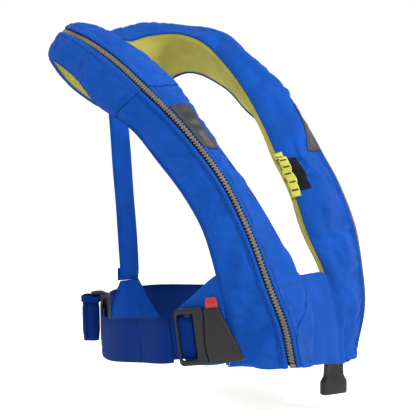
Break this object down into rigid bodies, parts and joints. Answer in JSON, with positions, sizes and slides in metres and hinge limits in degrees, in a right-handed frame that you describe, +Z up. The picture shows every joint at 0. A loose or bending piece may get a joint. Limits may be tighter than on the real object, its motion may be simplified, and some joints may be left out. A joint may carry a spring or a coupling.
{
  "type": "inflatable life jacket",
  "caption": "Over-the-head inflatable life jacket: zipped horseshoe cover round a folded bladder, waist belt with side buckle, back strap and pull handle.",
  "frame": {"origin": "on the wearer's own axis, midway between the two lobes, at the height of the front hem", "axes": "+Z up, -Y the way the wearer faces, +X to the wearer's left"},
  "size_m": [0.3229, 0.3759, 0.4834],
  "materials": {
    "cover_fabric": "woven polyester, matt",
    "lining_mesh": "mesh lining",
    "lime_webbing": "narrow webbing",
    "zip_tape": "woven tape",
    "zip_teeth": "moulded teeth",
    "zip_metal": "cast, painted",
    "reflective_fabric": "retroreflective",
    "black_fabric": "plain weave",
    "belt_webbing": "ribbed webbing",
    "strap_webbing": "ribbed webbing",
    "black_plastic": "fine-grained moulding",
    "red_plastic": "moulded",
    "red_cord": "braided",
    "bladder_film": "coated nylon",
    "steel": "bright"
  },
  "bodies": {
    "root": {"back_strap": "strap_webbing", "belt_back": "belt_webbing", "belt_near": "belt_webbing", "belt_right": "belt_webbing", "bladder": "bladder_film", "buckle_plate": "black_plastic", "cover_arm_side_collar": "cover_fabric", "cover_arm_side_left": "cover_fabric", "cover_arm_side_right": "cover_fabric", "cover_neck_side_collar": "cover_fabric", "cover_neck_side_left": "cover_fabric", "cover_neck_side_right": "cover_fabric", "firing_cap": "black_plastic", "front_bridge": "cover_fabric", "front_bridge_lining": "lining_mesh", "gas_cylinder": "steel", "hem_left": "cover_fabric", "hem_right": "cover_fabric", "inflator_body": "black_plastic", "ladder_backing": "black_fabric", "ladder_strip": "lime_webbing", "lever_pin": "steel", "lining_collar": "lining_mesh", "lining_left": "lining_mesh", "lining_right": "lining_mesh", "oral_tube": "black_plastic", "pocket_flap": "cover_fabric", "reflective_patch_left": "reflective_fabric", "reflective_patch_right": "reflective_fabric", "strap_gusset": "strap_webbing", "strap_overlap": "strap_webbing", "tab_spring": "steel", "whistle": "red_plastic", "zip_chain": "zip_teeth", "zip_end_stop_left": "zip_teeth", "zip_end_stop_right": "zip_teeth", "zip_tape_arm_side": "zip_tape", "zip_tape_neck_side": "zip_tape"},
    "buckle_frame": {"buckle_frame": "black_plastic", "belt_loop": "belt_webbing"},
    "release_tab": {"release_tab": "red_plastic"},
    "handle": {"pull_handle": "black_plastic", "lanyard": "red_cord"},
    "lever": {"firing_lever": "red_plastic"},
    "slider": {"zip_slider": "zip_metal"},
    "pull_tab": {"zip_pull_tab": "zip_metal"},
    "adjuster": {"belt_adjuster": "black_plastic", "belt_roll": "belt_webbing"},
    "oral_cap": {"oral_tube_cap": "red_plastic"}
  },
  "joints": [
    {"name": "frame_release", "type": "slide", "parent": "root", "child": "buckle_frame", "axis": [-0.3224, 0.9363, -0.1392], "range_m": [0, 0.03], "deforming": ["belt_near"]},
    {"name": "tab_press", "type": "slide", "parent": "root", "child": "release_tab", "axis": [0.0453, -0.1316, -0.9903], "range_m": [0, 0.004], "stiffness_N_per_m": 300, "deforming": ["tab_spring"]},
    {"name": "handle_pull", "type": "slide", "parent": "root", "child": "handle", "axis": [0, 0, -1], "range_m": [0, 0.012]},
    {"name": "lever_turn", "type": "hinge", "parent": "root", "child": "lever", "pos_m": [0.07174, -0.15245, 0.04634], "axis": [0.0386, -0.9557, 0.2917], "range_deg": [0, 45]},
    {"name": "slider_run", "type": "slide", "parent": "root", "child": "slider", "axis": [0.9985, 0, 0.0542], "range_m": [0, 0.02]},
    {"name": "pull_tab_flip", "type": "hinge", "parent": "slider", "child": "pull_tab", "pos_m": [-0.00955, 0.19143, 0.39323], "axis": [-0.0529, -0.2218, 0.9736], "range_deg": [0, 120]},
    {"name": "adjuster_run", "type": "slide", "parent": "root", "child": "adjuster", "axis": [0.793, 0.5947, 0.1322], "range_m": [0, 0.012]},
    {"name": "oral_cap_pull", "type": "slide", "parent": "root", "child": "oral_cap", "axis": [0.2548, -0.292, -0.9219], "range_m": [0, 0.012]}
  ],
  "couplings": [
    {"joint": "lever_turn", "follows": "handle_pull", "rad_per_m": 65}
  ]
}
